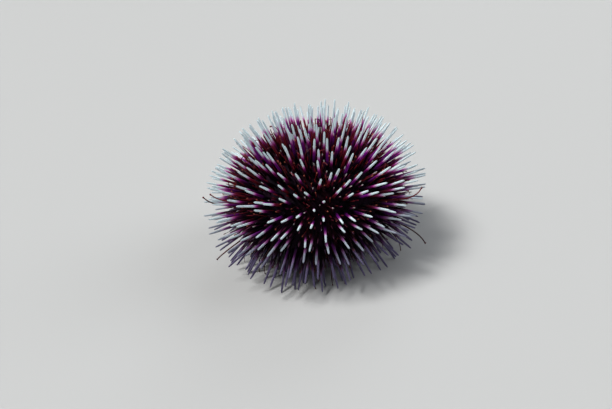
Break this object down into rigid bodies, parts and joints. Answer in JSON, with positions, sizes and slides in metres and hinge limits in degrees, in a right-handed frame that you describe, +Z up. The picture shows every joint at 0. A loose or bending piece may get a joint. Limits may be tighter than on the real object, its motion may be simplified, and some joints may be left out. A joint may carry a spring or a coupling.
{
  "type": "violet sea urchin",
  "caption": "Life-size still model of a violet sea urchin standing on its lower spines, with white-tipped spines, tube feet, apical disc and mouth.",
  "frame": {"origin": "on the floor, under the middle of the animal's bounding box", "axes": "+Z up through the mouth and the apical disc; -Y is the side that the picture shows"},
  "size_m": [0.1218, 0.1223, 0.0807],
  "materials": {
    "spined_shell": "matte violet, white towards the spines' tips",
    "apical_plates": "matte dark violet",
    "membrane": "moist dark red skin",
    "tooth": "smooth ivory"
  },
  "bodies": {
    "root": {"ambulacrum_1": "spined_shell", "ambulacrum_2": "spined_shell", "ambulacrum_3": "spined_shell", "ambulacrum_4": "spined_shell", "ambulacrum_5": "spined_shell", "interambulacrum_1": "spined_shell", "interambulacrum_2": "spined_shell", "interambulacrum_3": "spined_shell", "interambulacrum_4": "spined_shell", "interambulacrum_5": "spined_shell", "apical_disc": "apical_plates", "mouth_membrane": "membrane", "tooth_1": "tooth", "tooth_2": "tooth", "tooth_3": "tooth", "tooth_4": "tooth", "tooth_5": "tooth"}
  },
  "joints": []
}
